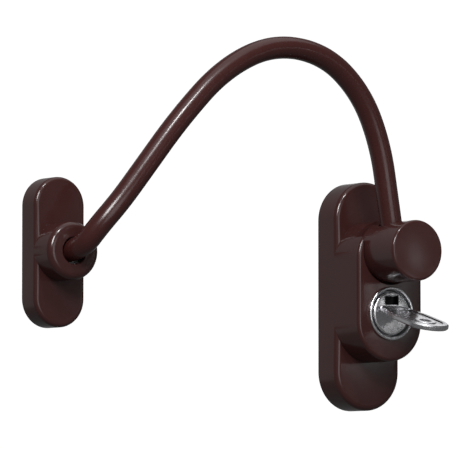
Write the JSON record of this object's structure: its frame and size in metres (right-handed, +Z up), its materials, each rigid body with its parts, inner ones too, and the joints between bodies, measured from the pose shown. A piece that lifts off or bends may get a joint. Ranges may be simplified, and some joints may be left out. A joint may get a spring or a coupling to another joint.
{
  "type": "window restrictor cable",
  "caption": "Key-locking window restrictor: two oval frame plates joined by a sleeved steel cable that swivels at a small anchor boss and at a push-in knob above the lock cylinder.",
  "frame": {"origin": "centre of the lock plate's back face, where it sits on the window frame", "axes": "+Z up along the lock plate, +Y out of the back of both plates into the frame, -Y out of their fronts, +X away from the anchor plate"},
  "size_m": [0.1312, 0.0474, 0.1128],
  "materials": {
    "housing_paint": "gloss dark brown paint on zinc casting",
    "knob_paint": "gloss dark brown paint on zinc casting",
    "cable_jacket": "smooth red-brown PVC sleeve over steel rope",
    "plated_steel": "bright zinc plated pressed steel",
    "die_cast_zinc": "bare as-cast zinc",
    "lock_chrome": "polished chrome plate",
    "key_steel": "nickel plated, stamped",
    "wafer_brass": "stamped brass",
    "spring_steel": "drawn spring wire",
    "stainless": "turned stainless steel",
    "rope_steel": "galvanised stranded rope",
    "crimp_metal": "turned and crimped sleeve"
  },
  "bodies": {
    "lock": {"lock_cover": "housing_paint", "lock_base_plate": "plated_steel", "lock_core": "die_cast_zinc", "core_screws": "plated_steel", "lock_bezel": "lock_chrome", "lock_barrel": "die_cast_zinc"},
    "plug": {"lock_plug": "lock_chrome", "lock_cam": "stainless"},
    "wafers": {"lock_wafers": "wafer_brass"},
    "key": {"key": "key_steel"},
    "latch": {"lock_latch": "stainless", "latch_spring": "spring_steel"},
    "connector": {"connector_pin": "stainless"},
    "cable_run": {"swivel_knob": "knob_paint", "knob_cap": "knob_paint", "clamp_screw": "stainless", "knob_ferrule": "crimp_metal", "cable": "cable_jacket", "rope_end_knob": "rope_steel", "rope_end_anchor": "rope_steel", "anchor_ferrule": "crimp_metal", "anchor_washer": "stainless"},
    "anchor": {"anchor_cover": "housing_paint", "anchor_base_plate": "plated_steel", "anchor_screws": "plated_steel"}
  },
  "joints": [
    {"name": "key_turn", "type": "hinge", "parent": "lock", "child": "plug", "pos_m": [0, -0.015, -0.0058], "axis": [0, 1, 0], "range_deg": [-90, 0]},
    {"name": "key_pull", "type": "slide", "parent": "plug", "child": "key", "axis": [0, -1, 0], "range_m": [0, 0.016]},
    {"name": "wafer_shift", "type": "slide", "parent": "plug", "child": "wafers", "axis": [1, 0, 0], "range_m": [0, 0.0005]},
    {"name": "latch_slide", "type": "slide", "parent": "lock", "child": "latch", "axis": [0, 0, 1], "range_m": [0, 0.0036], "deforming": ["latch_spring"]},
    {"name": "connector_release", "type": "slide", "parent": "lock", "child": "connector", "axis": [0, -1, 0], "range_m": [0, 0.018]},
    {"name": "knob_swivel", "type": "hinge", "parent": "connector", "child": "cable_run", "pos_m": [0, -0.02, 0.013], "axis": [0, 1, 0], "range_deg": [-35, 50]},
    {"name": "anchor_swivel", "type": "hinge", "parent": "cable_run", "child": "anchor", "pos_m": [-0.1105, -0.006, 0.0103], "axis": [0, 1, 0], "continuous": true}
  ],
  "couplings": [
    {"joint": "latch_slide", "follows": "key_turn", "m_per_rad": -0.0022508},
    {"joint": "wafer_shift", "follows": "key_pull", "ratio": 0.03125}
  ]
}
